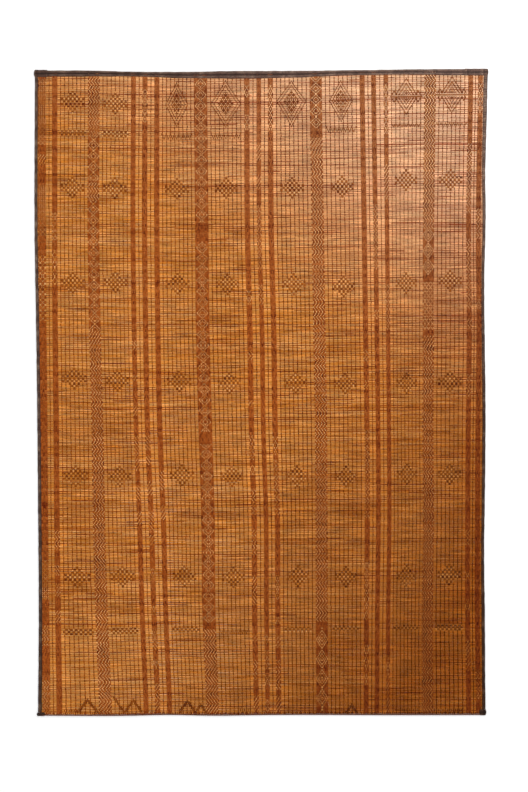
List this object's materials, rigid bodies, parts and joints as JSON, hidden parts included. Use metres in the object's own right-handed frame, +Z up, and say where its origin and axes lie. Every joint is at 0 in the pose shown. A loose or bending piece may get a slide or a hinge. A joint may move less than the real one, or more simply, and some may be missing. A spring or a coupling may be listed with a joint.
{
  "type": "tuareg reed and leather floor mat",
  "caption": "Large flat floor mat of split reeds woven across with leather strips in bands, lines and diamonds, bound in rolled leather.",
  "frame": {"origin": "on the ground under the middle of the mat's outer box", "axes": "+Y along the leather strips towards the edge with the wide double-rolled binding, +X along the reeds, +Z up"},
  "size_m": [3.18, 4.53, 0.0084],
  "materials": {
    "split_reed": "dry split reeds, satin",
    "dark_leather": "worn, dark, rolled edge leather",
    "tan_leather": "red-brown tanned goat leather, satin"
  },
  "bodies": {
    "root": {"woven_field": "split_reed", "top_binding": "dark_leather", "left_binding": "dark_leather", "right_binding": "dark_leather", "bottom_cord": "tan_leather", "top_left_wrap": "dark_leather", "top_right_wrap": "dark_leather", "bottom_left_wrap": "dark_leather", "bottom_right_wrap": "dark_leather"}
  },
  "joints": []
}
